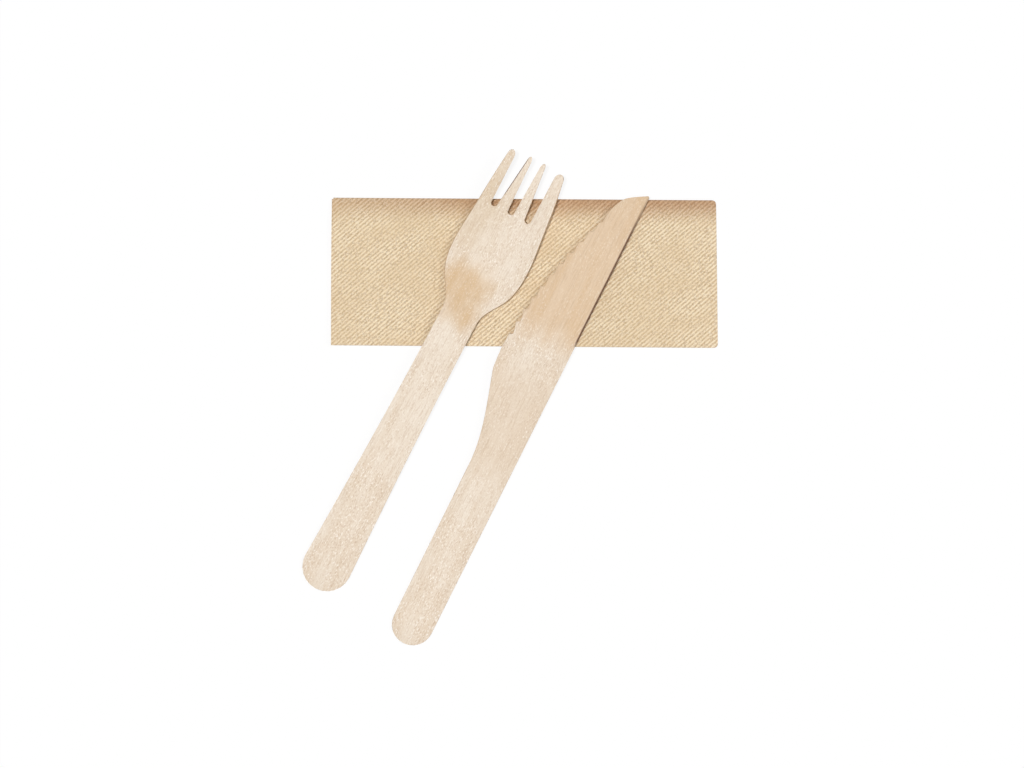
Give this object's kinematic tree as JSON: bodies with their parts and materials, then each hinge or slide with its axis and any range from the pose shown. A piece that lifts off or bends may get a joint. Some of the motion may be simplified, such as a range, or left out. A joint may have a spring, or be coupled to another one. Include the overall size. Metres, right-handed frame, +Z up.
{
  "type": "cutlery set",
  "caption": "Disposable wooden fork and serrated knife lying across a folded unbleached paper napkin.",
  "frame": {"origin": "middle of the folded napkin's flat underside, on the table", "axes": "+Z up, +X along the napkin's long side towards its side fold, +Y towards its soft long fold; the cutlery's butts point to -X and -Y"},
  "size_m": [0.1338, 0.1602, 0.0094],
  "materials": {
    "paper": "embossed unbleached tissue paper",
    "fork_birch": "uncoated birch veneer, hot-pressed and tumbled",
    "knife_birch": "uncoated birch veneer, hot-pressed and tumbled"
  },
  "bodies": {
    "root": {"napkin": "paper", "fork": "fork_birch", "knife": "knife_birch"}
  },
  "joints": []
}
